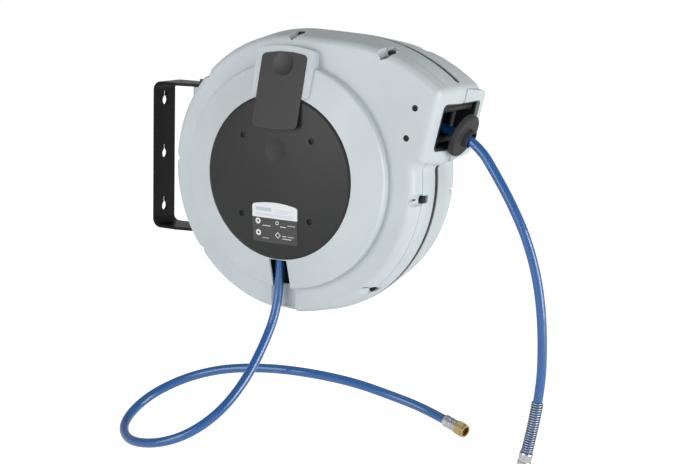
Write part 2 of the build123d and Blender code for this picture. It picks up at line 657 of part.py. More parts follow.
def make_coupler():
    """The quick disconnect coupler and what joins it to the hose, along the local Z axis."""
    ferrule = lathe([(4.0, 0), (8.0, 0), (8.6, 1.5), (8.6, 7), (8.1, 8), (8.1, 11), (8.8, 12), (8.8, 17),
                     (8.2, 18), (8.2, 21), (8.8, 22), (8.8, 27), (8.2, 28.5), (4.0, 28.5)])
    tail = (rod(4.0, 0, 30) + hexagon(17, 30, 38) + rod(6.5, 38, 47)) - rod(2.5, -1, 50)
    body = hexagon(21, 38, 46) + rod(9.5, 46, 88) + rod(10.85, 50, 53)
    body = body - rod(6.5, 37, 47) - rod(6.0, 47, 64.5) - rod(4.3, 64, 67) - rod(PLUG_R, 66.5, 90)
    body = body - tube(7.1, PLUG_R - 0.5, 69.5, 72) - tube(11, 8.8, 85.0, 86.4)
    balls = []
    for angle in range(0, 360, 90):
        body -= Rot(0, 0, angle) * (Pos(0, 0, 76) * (Rot(0, 90, 0) * rod(1.7, 4.5, 12)))
        balls.append(Rot(0, 0, angle) * (Pos(6.95, 0, 76) * Sphere(1.6)))
    seal = Pos(0, 0, 70.75) * Torus(6.1, 0.95)
    valve = (rod(5.9, 58.5, 63.9) + rod(3.6, 63.9, 67.5) + rod(3.0, 54, 58.5)) - rod(1.8, 50, 62)
    sleeve = (rod(12.4, 53, 84.6) - rod(9.5 + RUN_CLEAR, 50, 90) - rod(10.9, 50, 66))
    sleeve = chamfer(sleeve.edges().filter_by(GeomType.CIRCLE).group_by(SortBy.RADIUS)[-1], 0.8)
    for groove in range(6):
        sleeve -= tube(14, 11.9, 70 + 2 * groove, 71 + 2 * groove)
    clip = tube(10.3, 8.8, 85.0, 86.2) - block(0, 12, -1.2, 1.2, 80, 90)
    return {
        "hose_ferrule": ferrule,
        "hose_tail": tail,
        "coupler_body": body,
        "coupler_balls": together(balls),
        "coupler_seal": seal,
        "coupler_valve": valve,
        "coupler_sleeve": sleeve,
        "retaining_ring": clip,
        "sleeve_spring": coil(10.25, 0.4, 53.6, 65.4, 2.6),
        "valve_spring": coil(4.6, 0.5, 48.0, 57.9, 2.2),
    }


def coil(radius, wire_r, low, high, pitch):
    """A compression spring between two heights."""
    path = Pos(0, 0, low) * Helix(pitch=pitch, height=high - low, radius=radius)
    section = Plane(origin=path @ 0, z_dir=path % 0) * Circle(wire_r)
    return sweep(section, path=path, is_frenet=True)


def make_spring_guard(start, end):
    """The bend guard's outer shape: a sleeve of wire turns over the hose's last stretch."""
    way = Vector(*end) - Vector(*start)
    return axis_plane(start, end).location * tube(7.7, HOSE_R + 0.1, way.length - 68, way.length)


# ---- pawl ---------------------------------------------------------------------------------------

def make_pawl():
    """The pawl with its nose just clear of the ratchet, its post and its small spring."""
    x, y = PAWL_PIVOT
    arm = Pos(0, -3, 0) * Box(PAWL_LENGTH - 7, 6, 4, align=(LOW, LOW, LOW))
    nose = Polyline((PAWL_LENGTH - 7, -3), (PAWL_LENGTH, -0.8), (PAWL_LENGTH, 0.8),
                    (PAWL_LENGTH - 7, 3), close=True)
    pawl = arm + rod(7, 0, 4) + extrude(make_face(nose), 4) - rod(3 + RUN_CLEAR, -1, 5)
    post = rod(3.0, DRUM_HALF + 0.5, SHELF - SHELF_T)
    pawl = Pos(x, y, DRUM_HALF + 0.6) * (Rot(0, 0, PAWL_REST) * pawl)
    spring = Pos(x, y, DRUM_HALF + 6.0) * coil(4.2, 0.4, 0, 6, 1.5)
    return pawl, Pos(x, y, 0) * post, spring


# ---- bracket ------------------------------------------------------------------------------------

def make_bracket():
    """The bent steel strap with three keyholes."""
    outer = make_face(Polyline((0, -STRAP_HALF), (PIVOT_X + ARM_END_R, -STRAP_HALF),
                               (PIVOT_X + ARM_END_R, STRAP_HALF), (0, STRAP_HALF), close=True))
    for z in (-STRAP_HALF, STRAP_HALF):
        outer = fillet(outer.vertices().sort_by_distance((0, z, 0))[0], 12)
    inner = make_face(Polyline((STRAP_T, -STRAP_HALF + STRAP_T), (200, -STRAP_HALF + STRAP_T),
                               (200, STRAP_HALF - STRAP_T), (STRAP_T, STRAP_HALF - STRAP_T), close=True))
    for z in (-STRAP_HALF + STRAP_T, STRAP_HALF - STRAP_T):
        inner = fillet(inner.vertices().sort_by_distance((STRAP_T, z, 0))[0], 8)
    strap = Pos(0, STRAP_W / 2, 0) * extrude(Plane.XZ * (outer - inner), STRAP_W)
    plan = make_face(Polyline((-1, -22), (38, -22), (PIVOT_X, -ARM_END_R), (PIVOT_X, ARM_END_R), (38, 22),
                              (-1, 22), close=True)) + Pos(PIVOT_X, 0) * Circle(ARM_END_R)
    strap &= Pos(0, 0, -120) * extrude(plan, 240)
    strap -= Pos(PIVOT_X, 0, 0) * rod(PIVOT_R, -120, 120)
    for z in (-KEYHOLE_PITCH, 0, KEYHOLE_PITCH):
        hole = Circle(KEYHOLE_R) + Pos(0, KEYHOLE_RISE / 2) * Rectangle(2 * KEYHOLE_SLOT_R, KEYHOLE_RISE)
        hole += Pos(0, KEYHOLE_RISE) * Circle(KEYHOLE_SLOT_R)
        strap -= Pos(-5, 0, z) * extrude(Plane.YZ * hole, 15)
    return strap


def make_pivots(body):
    """Lugs on the housing, their bushes, and the bolts that hang them in the bracket's arms."""
    plan = Rectangle(34, 32, align=(LOW, MID)) + Circle(16)
    lug = Pos(PIVOT_X, 0, LUG_LOW) * extrude(plan, LUG_HIGH - LUG_LOW)
    lug -= Pos(PIVOT_X, 0, 0) * rod(7, BUSH_LOW, 120)
    lug -= FRONT.location * body
    bush = Pos(PIVOT_X, 0, 0) * tube(7, PIVOT_R + RUN_CLEAR, BUSH_LOW, LUG_HIGH)
    bolt = Pos(PIVOT_X, 0, 0) * (rod(PIVOT_R, BUSH_LOW + 1, STRAP_HALF) + hexagon(15, STRAP_HALF, STRAP_HALF + 5.5)
                                 - hexagon(5, STRAP_HALF + 2.5, STRAP_HALF + 6))
    pairs = []
    for piece in (lug, bush, bolt):
        pairs.append(together([piece, mirror(piece, Plane.XY)]))
    return pairs


# ---- the whole reel -----------------------------------------------------------------------------

def main():
    front_shell, housing_ring, rear_shell, body, zone = make_housing()
    lugs, bushes, bolts = make_pivots(body)
    banjo, inner_hose, clip = make_inlet()
    pawl, post, pawl_spring = make_pawl()
    parts = {"wall_bracket": make_bracket(), "pivot_bolts": bolts, "pivot_lugs": lugs,
             "pivot_bushes": bushes}
    front_view = {
        "front_shell": front_shell, "housing_ring": housing_ring, "rear_shell": rear_shell,
        "shell_gasket": make_gasket(zone), "front_cover": make_round_cover() - dimple(37, COVER_TOP - 0.8, 1.5),
        "rear_cover": mirror(make_round_cover(), Plane.XY), "cover_strip": make_strip(), "rating_label": make_label(),
        "cover_screws": together(make_cover_screws()), "shell_screws": together(make_rim_screws()),
        "axle": make_axle(), "axle_o_rings": together(make_o_rings()),
        "spring_arbor": tube(14, AXLE_R, -33, -3), "inlet_banjo": banjo,
        "inlet_hose_inner": inner_hose, "inlet_clip": clip, "pawl": pawl, "pawl_post": post,
        "pawl_spring": pawl_spring, "outlet_screws": together(make_outlet_screws()),
    }
    front_view.update(make_drum())
    for name, shape in front_view.items():
        parts[name] = FRONT.location * shape

    parts["outlet_guide"] = make_outlet_guide()
    parts["roller_pins"] = MOUTH.location * together(roller_pins())
    for name in ROLLERS:
        parts[name] = make_roller(name)

    stop_at = Vector(*WORKING_ROUTE[0])
    normal = MOUTH.x_dir.rotate(Axis.Y, STOP_LEAN)
    stop_plane = Plane(origin=stop_at - normal * STOP_BACK, x_dir=(0, 1, 0), z_dir=normal)
    parts["hose_stop"] = stop_plane.location * make_hose_stop()
    pack_r = WOUND_R + HOSE_R + 0.6
    lead_end = stop_at
    hub = Vector(HUB_X, 0, 0)
    gap = lead_end - hub
    lead_angle = math.atan2(gap.Z, gap.X) + math.acos(pack_r / gap.length)
    lead_start = hub + Vector(math.cos(lead_angle), 0, math.sin(lead_angle)) * pack_r
    lead = axis_plane(lead_start, lead_end)
    parts["lead_hose"] = lead.location * rod(HOSE_R, 0, (lead_end - lead_start).length)

    parts["inlet_hose"] = cord_tube(INLET_ROUTE)
    parts["working_hose"] = cord_tube(WORKING_ROUTE)
    inlet_end = axis_plane(INLET_ROUTE[-1], Vector(*INLET_ROUTE[-1]) * 2 - Vector(*INLET_ROUTE[-2]))
    for name, shape in zip(("inlet_ferrule", "inlet_tail", "inlet_nut"), make_inlet_end()):
        parts[name] = inlet_end.location * shape
    parts["spring_guard"] = make_spring_guard(WORKING_ROUTE[-2], WORKING_ROUTE[-1])
    coupler = axis_plane(WORKING_ROUTE[-1], Vector(*WORKING_ROUTE[-1]) * 2 - Vector(*WORKING_ROUTE[-2]))
    for name, shape in make_coupler().items():
        parts[name] = coupler.location * shape
    print("nut axis", inlet_end.z_dir, "coupler axis", coupler.z_dir)
    print("mouth axes", MOUTH.x_dir, MOUTH.z_dir, MOUTH.origin)

    os.makedirs("parts", exist_ok=True)
    for name, shape in parts.items():
        export_step(shape, f"parts/{name}.step")
        if not shape.is_valid:
            print("not valid:", name)
    print(len(parts), "nodes")


if __name__ == "__main__":
    main()
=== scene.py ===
"""Wall-mounted air hose reel: finishes, hoses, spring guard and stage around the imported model."""
import json
import math

import bmesh
import bpy
from bpy.props import FloatProperty, FloatVectorProperty, IntProperty, PointerProperty
from mathutils import Matrix, Vector


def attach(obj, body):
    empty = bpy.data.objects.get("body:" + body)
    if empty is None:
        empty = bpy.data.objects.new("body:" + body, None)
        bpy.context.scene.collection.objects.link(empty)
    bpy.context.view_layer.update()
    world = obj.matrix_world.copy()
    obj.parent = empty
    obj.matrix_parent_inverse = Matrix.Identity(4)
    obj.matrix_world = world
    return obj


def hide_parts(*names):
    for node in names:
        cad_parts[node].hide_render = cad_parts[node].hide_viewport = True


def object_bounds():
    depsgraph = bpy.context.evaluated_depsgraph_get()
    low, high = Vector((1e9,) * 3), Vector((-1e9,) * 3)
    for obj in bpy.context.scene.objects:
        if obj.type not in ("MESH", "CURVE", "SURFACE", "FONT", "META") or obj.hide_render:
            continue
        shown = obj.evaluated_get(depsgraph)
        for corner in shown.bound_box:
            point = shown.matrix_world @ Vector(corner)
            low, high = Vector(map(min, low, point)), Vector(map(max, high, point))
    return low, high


bl_info = {
    "name": "Air Hose Reel",
    "version": (1, 0, 0),
    "blender": (4, 5, 0),
    "location": "View3D > Sidebar > Hose Reel",
    "description": "Builds the hoses, guards and finishes of a wall-mounted air hose reel",
    "category": "Object",
}

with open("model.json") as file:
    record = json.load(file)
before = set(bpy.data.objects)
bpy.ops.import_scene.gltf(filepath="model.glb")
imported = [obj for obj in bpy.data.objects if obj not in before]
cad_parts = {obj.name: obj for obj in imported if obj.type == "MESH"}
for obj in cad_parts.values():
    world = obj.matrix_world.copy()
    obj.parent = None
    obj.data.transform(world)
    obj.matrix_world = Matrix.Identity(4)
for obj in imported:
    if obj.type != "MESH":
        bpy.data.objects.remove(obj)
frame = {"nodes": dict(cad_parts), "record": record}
NODES = frame["nodes"]
CAD_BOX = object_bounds()
MM = 0.001

# ---- where things are ---------------------------------------------------------------------------

HUB_X = 0.242
INLET_ROUTE = [
    (237, -70, -107), (237, -70, -142), (236, -78, -180), (233, -100, -216), (229, -134, -254),
    (218, -172, -287), (190, -202, -314), (147, -213, -331), (98, -205, -338), (62, -169, -331),
    (61, -121, -310), (91, -82, -288), (138, -61, -271), (194, -49, -262), (254, -38, -260),
    (316, -14, -269), (370, 0, -283), (414, 0, -291), (449, -9, -298),
]
WORKING_ROUTE = [
    (453.4, 0, 62.5), (476, 0, 49.5), (497, 0, 21), (521, -1, -14), (544, -1, -56),
    (562, -1, -110), (571, -1, -175), (571.5, -1, -250), (557.5, -1, -321),
]
GUARD_LENGTH = 0.068
BRAID_YARNS = 10.0          # yarns each way round the hose
BRAID_PITCH = 0.0062        # metres of hose for one step of the braid
ROUND_STEPS = 28            # sides of a hose's section
WIRE_STEPS = 8              # sides of the guard wire's section
TURN_STEPS = 20             # points in one turn of the guard wire
PRINT_EDGE = 0.00012        # metres over which a printed edge fades

CAMERA_AT = Vector((1.2271, -1.6530, 0.2856))
CAMERA_AZIMUTH = 29.797
CAMERA_ELEVATION = 10.799
CAMERA_ROLL = 1.573
CAMERA_LENS = 79.88


# ---- settings -----------------------------------------------------------------------------------

def colour(label, text, value):
    return FloatVectorProperty(name=label, description=text, subtype="COLOR", size=3, min=0, max=1,
                               default=value)


class HoseReelHoses(bpy.types.PropertyGroup):
    """Sizes and colour of both hoses and of the spring guard."""
    diameter: FloatProperty(name="Hose diameter", description="Outside diameter of both hoses",
                            default=0.012, unit="LENGTH")
    wire: FloatProperty(name="Guard wire", description="Wire thickness of the spring guard",
                        default=0.0017, unit="LENGTH")
    turns: IntProperty(name="Guard turns", description="Wire turns of the spring guard", default=21)
    colour: colour("Hose colour", "Colour of the outer tube", (0.009, 0.085, 0.30))
    braid: colour("Braid colour", "Colour of the yarn that shows through", (0.03, 0.19, 0.48))


class HoseReelFinishes(bpy.types.PropertyGroup):
    """Colours of the mouldings and the metal pieces."""
    housing: colour("Housing", "Moulded shells", (0.515, 0.572, 0.592))
    cover: colour("Covers", "Round covers", (0.016, 0.018, 0.016))
    strip: colour("Strip", "Strip cover at the top of the front", (0.007, 0.007, 0.007))
    strap: colour("Strap", "Wall strap", (0.003, 0.003, 0.0035))


class HoseReelStage(bpy.types.PropertyGroup):
    """Light and backdrop."""
    key: FloatProperty(name="Key light", description="Power of the front light", default=30,
                       subtype="POWER")
    fill: FloatProperty(name="Fill light", description="Power of the right hand light", default=42,
                        subtype="POWER")
    sky: FloatProperty(name="Surround", description="Brightness of the room", default=0.62)
    paper: colour("Backdrop", "Colour of the floor and the backdrop", (0.93, 0.93, 0.93))


def settings():
    scene = bpy.context.scene
    return scene.hose_reel_hoses, scene.hose_reel_finishes, scene.hose_reel_stage


# ---- node helpers -------------------------------------------------------------------------------

class Graph:
    """Adds nodes to a tree and links them; a value, a colour or another node's socket goes in."""

    def __init__(self, tree):
        self.tree = tree

    def put(self, socket, value):
        if isinstance(value, bpy.types.NodeSocket):
            self.tree.links.new(value, socket)
        elif hasattr(value, "__len__") and len(value) == 3 and socket.type == "RGBA":
            socket.default_value = (*value, 1)
        else:
            socket.default_value = value

    def node(self, kind, inputs=(), **settings):
        made = self.tree.nodes.new(kind)
        for key, value in settings.items():
            setattr(made, key, value)
        for key, value in dict(inputs).items():
            self.put(made.inputs[key], value)
        return made

    def math(self, operation, a, b=0.0, clamp=False):
        return self.node("ShaderNodeMath", {0: a, 1: b}, operation=operation,
                         use_clamp=clamp).outputs[0]

    def mix(self, factor, a, b):
        made = self.node("ShaderNodeMix", data_type="RGBA")
        self.put(made.inputs[0], factor)
        self.put(made.inputs[6], a)
        self.put(made.inputs[7], b)
        return made.outputs[2]

    def noise(self, vector, scale, detail=2.0, rough=0.5):
        return self.node("ShaderNodeTexNoise", {"Vector": vector, "Scale": scale, "Detail": detail,
                                                "Roughness": rough}).outputs["Fac"]

    def span(self, value, low, high, to_low=0.0, to_high=1.0):
        return self.node("ShaderNodeMapRange", {"Value": value, "From Min": low, "From Max": high,
                                                "To Min": to_low, "To Max": to_high}).outputs[0]

    def group(self, name, inputs=()):
        made = self.node("ShaderNodeGroup", node_tree=bpy.data.node_groups[name])
        for key, value in dict(inputs).items():
            self.put(made.inputs[key], value)
        return made


def new_group(name, inputs, outputs):
    """An empty shader group; inputs are (name, kind, default) and outputs are (name, kind)."""
    tree = bpy.data.node_groups.new(name, "ShaderNodeTree")
    for label, kind, default in inputs:
        socket = tree.interface.new_socket(name=label, in_out="INPUT",
                                           socket_type="NodeSocket" + kind)
        if default is not None:
            socket.default_value = default
    for label, kind in outputs:
        tree.interface.new_socket(name=label, in_out="OUTPUT", socket_type="NodeSocket" + kind)
    graph = Graph(tree)
    return graph, graph.node("NodeGroupInput").outputs, graph.node("NodeGroupOutput").inputs


def build_groups():
    """The shared effects: edge wear, moulded grain, dust, tool marks and two printed shapes."""
    graph, given, out = new_group(
        "Edge Wear", [("Width", "Float", 0.001), ("Breakup", "Float", 90.0)], [("Mask", "Float")])
    place = graph.node("ShaderNodeTexCoord").outputs["Object"]
    soft = graph.node("ShaderNodeBevel", {"Radius": given["Width"]}, samples=4)
    hard = graph.node("ShaderNodeNewGeometry").outputs["Normal"]
    facing = graph.node("ShaderNodeVectorMath", {0: soft.outputs[0], 1: hard},
                        operation="DOT_PRODUCT").outputs["Value"]
    edge = graph.span(facing, 0.995, 0.88)
    broken = graph.span(graph.noise(place, given["Breakup"], 5, 0.65), 0.40, 0.62)
    graph.put(out["Mask"], graph.math("MULTIPLY", edge, broken, True))

    graph, given, out = new_group(
        "Moulded Grain", [("Scale", "Float", 900.0), ("Height", "Float", 0.1)],
        [("Normal", "Vector"), ("Cloud", "Float"), ("Speckle", "Float")])
    place = graph.node("ShaderNodeTexCoord").outputs["Object"]
    fine = graph.noise(place, given["Scale"], 3, 0.6)
    slow = graph.noise(place, 14.0, 3, 0.5)
    wave = graph.noise(place, 45.0, 2, 0.5)
    height = graph.math("ADD", graph.math("MULTIPLY", fine, 0.35),
                        graph.math("MULTIPLY", wave, 0.65))
    bump = graph.node("ShaderNodeBump", {"Strength": given["Height"], "Distance": 0.001,
                                         "Height": height})
    graph.put(out["Normal"], bump.outputs[0])
    graph.put(out["Cloud"], graph.span(slow, 0.32, 0.68))
    graph.put(out["Speckle"], graph.span(fine, 0.35, 0.65))

    graph, given, out = new_group("Settled Dust", [("Amount", "Float", 0.2)], [("Mask", "Float")])
    place = graph.node("ShaderNodeTexCoord").outputs["Object"]
    normal = graph.node("ShaderNodeNewGeometry").outputs["Normal"]
    upward = graph.node("ShaderNodeSeparateXYZ", {0: normal}).outputs["Z"]
    patchy = graph.span(graph.noise(place, 55.0, 6, 0.7), 0.35, 0.75)
    mask = graph.math("MULTIPLY", graph.span(upward, 0.3, 1.0), patchy)
    graph.put(out["Mask"], graph.math("MULTIPLY", mask, given["Amount"], True))

    graph, given, out = new_group(
        "Tool Marks", [("Vector", "Vector", None), ("Pitch", "Float", 2600.0),
                       ("Height", "Float", 0.15)], [("Normal", "Vector"), ("Streak", "Float")])
    along = graph.node("ShaderNodeSeparateXYZ", {0: given["Vector"]}).outputs["Z"]
    rings = graph.node("ShaderNodeCombineXYZ", {"Z": along}).outputs[0]
    streak = graph.noise(rings, given["Pitch"], 3, 0.7)
    patch = graph.noise(given["Vector"], 120.0, 4, 0.6)
    height = graph.math("ADD", streak, graph.math("MULTIPLY", patch, 0.4))
    bump = graph.node("ShaderNodeBump", {"Strength": given["Height"], "Distance": 0.0004,
                                         "Height": height})
    graph.put(out["Normal"], bump.outputs[0])
    graph.put(out["Streak"], graph.span(height, 0.45, 0.95))

    graph, given, out = new_group(
        "Printed Block", [("Vector", "Vector", None), ("Centre", "Vector", None),
                          ("Half", "Vector", None)], [("Mask", "Float")])
    gap = graph.node("ShaderNodeVectorMath", {0: given["Vector"], 1: given["Centre"]},
                     operation="SUBTRACT").outputs[0]
    gap = graph.node("ShaderNodeVectorMath", {0: gap}, operation="ABSOLUTE").outputs[0]
    left = graph.node("ShaderNodeVectorMath", {0: given["Half"], 1: gap},
                      operation="SUBTRACT").outputs[0]
    left = graph.node("ShaderNodeSeparateXYZ", {0: left})
    inside = graph.math("MINIMUM", left.outputs["X"], left.outputs["Z"])
    graph.put(out["Mask"], graph.span(inside, -PRINT_EDGE, PRINT_EDGE))

    graph, given, out = new_group(
        "Printed Ring", [("Vector", "Vector", None), ("Centre", "Vector", None),
                         ("Radius", "Float", 0.003), ("Line", "Float", 0.001),
                         ("Diamond", "Float", 0.0)], [("Mask", "Float")])
    gap = graph.node("ShaderNodeVectorMath", {0: given["Vector"], 1: given["Centre"]},
                     operation="SUBTRACT").outputs[0]
    flat = graph.node("ShaderNodeVectorMath", {0: gap, 1: (1, 0, 1)},
                      operation="MULTIPLY").outputs[0]
    far = graph.node("ShaderNodeVectorMath", {0: flat}, operation="LENGTH").outputs["Value"]
    parts = graph.node("ShaderNodeSeparateXYZ", {0: graph.node(
        "ShaderNodeVectorMath", {0: flat}, operation="ABSOLUTE").outputs[0]})
    square = graph.math("ADD", parts.outputs["X"], parts.outputs["Z"])
    reach = graph.math("ADD", graph.math("MULTIPLY", square, given["Diamond"]),
                       graph.math("MULTIPLY", far, graph.math("SUBTRACT", 1.0, given["Diamond"])))
    off = graph.math("ABSOLUTE", graph.math("SUBTRACT", reach, given["Radius"]))
    inside = graph.math("SUBTRACT", graph.math("MULTIPLY", given["Line"], 0.5), off)
    graph.put(out["Mask"], graph.span(inside, -PRINT_EDGE, PRINT_EDGE))


# ---- finishes -----------------------------------------------------------------------------------

def new_material(name, **sockets):
    """A material with a Principled shader whose plain values are set on its own sockets."""
    material = bpy.data.materials.new(name)
    material.use_nodes = True
    graph = Graph(material.node_tree)
    shader = material.node_tree.nodes["Principled BSDF"]
    for key, value in sockets.items():
        graph.put(shader.inputs[key.replace("_", " ")], value)
    return material, graph, shader


def moulded(name, base, rough, grain=900.0, height=0.1, cloud=0.06, wear=0.25, wear_width=0.0008,
            dust=0.08, worn=(0.8, 0.8, 0.8), spread=0.06, **sockets):
    """Moulded plastic, rubber or powder coat: fine grain, cloudiness, rubbed edges and dust."""
    material, graph, shader = new_material(name, **sockets)
    texture = graph.group("Moulded Grain", {"Scale": grain, "Height": height}).outputs
    dark = tuple(c * (1 - cloud) for c in base)
    light = tuple(min(1, c * (1 + cloud)) for c in base)
    tint = graph.mix(texture["Cloud"], dark, light)
    edge = graph.group("Edge Wear", {"Width": wear_width}).outputs["Mask"]
    tint = graph.mix(graph.math("MULTIPLY", edge, wear), tint, worn)
    veil = graph.group("Settled Dust", {"Amount": dust}).outputs["Mask"]
    tint = graph.mix(veil, tint, (0.55, 0.54, 0.51))
    graph.put(shader.inputs["Base Color"], tint)
    uneven = graph.span(texture["Speckle"], 0, 1, rough - spread, rough + spread)
    graph.put(shader.inputs["Roughness"],
              graph.math("ADD", uneven, graph.math("MULTIPLY", veil, 0.4), True))
    graph.put(shader.inputs["Normal"], texture["Normal"])
    return material


def machined(name, base, rough, tarnish, pitch=2600.0, turn=(0, 0, 0)):
    """Turned, drawn or plated metal: tool marks along its axis, tarnish and bright edges."""
    material, graph, shader = new_material(name, Metallic=1.0)
    place = graph.node("ShaderNodeTexCoord").outputs["Object"]
    place = graph.node("ShaderNodeMapping", {"Vector": place, "Rotation": turn}).outputs[0]
    marks = graph.group("Tool Marks", {"Vector": place, "Pitch": pitch, "Height": 0.12}).outputs
    patch = graph.span(graph.noise(place, 60.0, 5, 0.65), 0.38, 0.70)
    tint = graph.mix(patch, base, tarnish)
    edge = graph.group("Edge Wear", {"Width": 0.0004, "Breakup": 200.0}).outputs["Mask"]
    bright = tuple(min(1, c * 1.25 + 0.08) for c in base)
    tint = graph.mix(graph.math("MULTIPLY", edge, 0.3), tint, bright)
    graph.put(shader.inputs["Base Color"], tint)
    uneven = graph.span(marks["Streak"], 0, 1, rough * 0.75, rough * 1.3)
    uneven = graph.math("ADD", uneven, graph.math("MULTIPLY", patch, 0.1))
    graph.put(shader.inputs["Roughness"], uneven)
    graph.put(shader.inputs["Normal"], marks["Normal"])
    return material


def braided_hose(name, mapped):
    """Clear blue tube over a crossed yarn braid; mapped follows the tube's own UV map."""
    hoses = settings()[0]
    material, graph, shader = new_material(name, Coat_Weight=0.7, Coat_Roughness=0.05,
                                           Specular_IOR_Level=0.5, Subsurface_Weight=0.08,
                                           Subsurface_Scale=0.002)
    if mapped:
        place = graph.node("ShaderNodeUVMap", uv_map="along").outputs[0]
        axes = graph.node("ShaderNodeSeparateXYZ", {0: place}).outputs
        turns = graph.math("MULTIPLY", axes["X"], BRAID_YARNS)
        steps = graph.math("MULTIPLY", axes["Y"], 1 / BRAID_PITCH)
        yarns = []
        for crossing in ("ADD", "SUBTRACT"):
            lean = graph.math("MULTIPLY", graph.math(crossing, turns, steps), 2 * math.pi)
            yarns.append(graph.span(graph.math("SINE", lean), 0.35, 0.95))
        yarn = graph.math("MAXIMUM", *yarns)
    else:
        place = graph.node("ShaderNodeTexCoord").outputs["Object"]
        yarn = graph.span(graph.noise(place, 420.0, 2, 0.5), 0.45, 0.6)
    spot = graph.node("ShaderNodeTexCoord").outputs["Object"]
    depth = graph.span(graph.noise(spot, 30.0, 3, 0.5), 0.3, 0.7)
    tube = graph.mix(depth, tuple(hoses.colour), tuple(c * 0.82 for c in hoses.colour))
    tint = graph.mix(graph.math("MULTIPLY", yarn, 0.42), tube, tuple(hoses.braid))
    graph.put(shader.inputs["Base Color"], tint)
    smear = graph.noise(spot, 160.0, 4, 0.6)
    graph.put(shader.inputs["Roughness"], graph.span(smear, 0, 1, 0.12, 0.30))
    bump = graph.node("ShaderNodeBump", {"Strength": 0.10, "Distance": 0.0004, "Height": yarn})
    graph.put(shader.inputs["Normal"], bump.outputs[0])
    return material


def printed_label(name):
    """Rating plate: white band above a dark panel with plain blocks, two rings and a diamond."""
    material, graph, shader = new_material(name, Coat_Weight=0.25, Coat_Roughness=0.2)
    place = graph.node("ShaderNodeTexCoord").outputs["Object"]
    place = graph.node("ShaderNodeMapping", {"Vector": place,
                                             "Location": (-HUB_X, 0, 0)}).outputs[0]
    grit = graph.noise(place, 1500.0, 3, 0.6)

    def block(tint, x_low, x_high, z_low, z_high, ink, strength=1.0):
        mask = graph.group("Printed Block", {
            "Vector": place,
            "Centre": ((x_low + x_high) / 2 * MM, 0, (z_low + z_high) / 2 * MM),
            "Half": ((x_high - x_low) / 2 * MM, 1, (z_high - z_low) / 2 * MM)}).outputs[0]
        return graph.mix(graph.math("MULTIPLY", mask, strength), tint, ink)

    panel = graph.mix(grit, (0.030, 0.031, 0.028), (0.046, 0.047, 0.043))
    white = (0.74, 0.76, 0.78)
    tint = block(panel, -40, 40, -51.3, -20, white)
    for x_low, x_high, z_low, z_high, ink in (
            (-28, -4, -42.8, -38.2, (0.36, 0.50, 0.60)),
            (2, 25, -41.2, -40.2, (0.52, 0.53, 0.56)),
            (2, 20, -43.6, -42.6, (0.52, 0.53, 0.56)),
            (-28, 27, -48.9, -46.0, (0.62, 0.60, 0.72))):
        tint = block(tint, x_low, x_high, z_low, z_high, ink, 0.75)
    for row, (x_low, x_high, z_mid) in enumerate((
            (-18, -6, -61.5), (-18, -9, -77.5), (8, 17, -60.8), (19, 30, -58.5),
            (11, 17, -72.8), (19, 28, -72.8), (11, 24, -76.0))):
        strength = 0.55 if row % 2 else 0.75
        tint = block(tint, x_low, x_high, z_mid - 0.55, z_mid + 0.55, white, strength)
    for x_mid, z_mid, radius, line, diamond in (
            (-24.6, -56.4, 2.7, 2.2, 0), (-24.4, -71.4, 2.7, 2.2, 0),
            (3.8, -56.6, 2.0, 0.8, 0), (4.6, -72.2, 3.6, 1.2, 1)):
        mask = graph.group("Printed Ring", {
            "Vector": place, "Centre": (x_mid * MM, 0, z_mid * MM), "Radius": radius * MM,
            "Line": line * MM, "Diamond": float(diamond)}).outputs[0]
        tint = graph.mix(mask, tint, white)
    graph.put(shader.inputs["Base Color"], tint)
    graph.put(shader.inputs["Roughness"], graph.span(grit, 0, 1, 0.30, 0.46))
    bump = graph.node("ShaderNodeBump", {"Strength": 0.08, "Distance": 0.0003, "Height": grit})
    graph.put(shader.inputs["Normal"], bump.outputs[0])
    return material


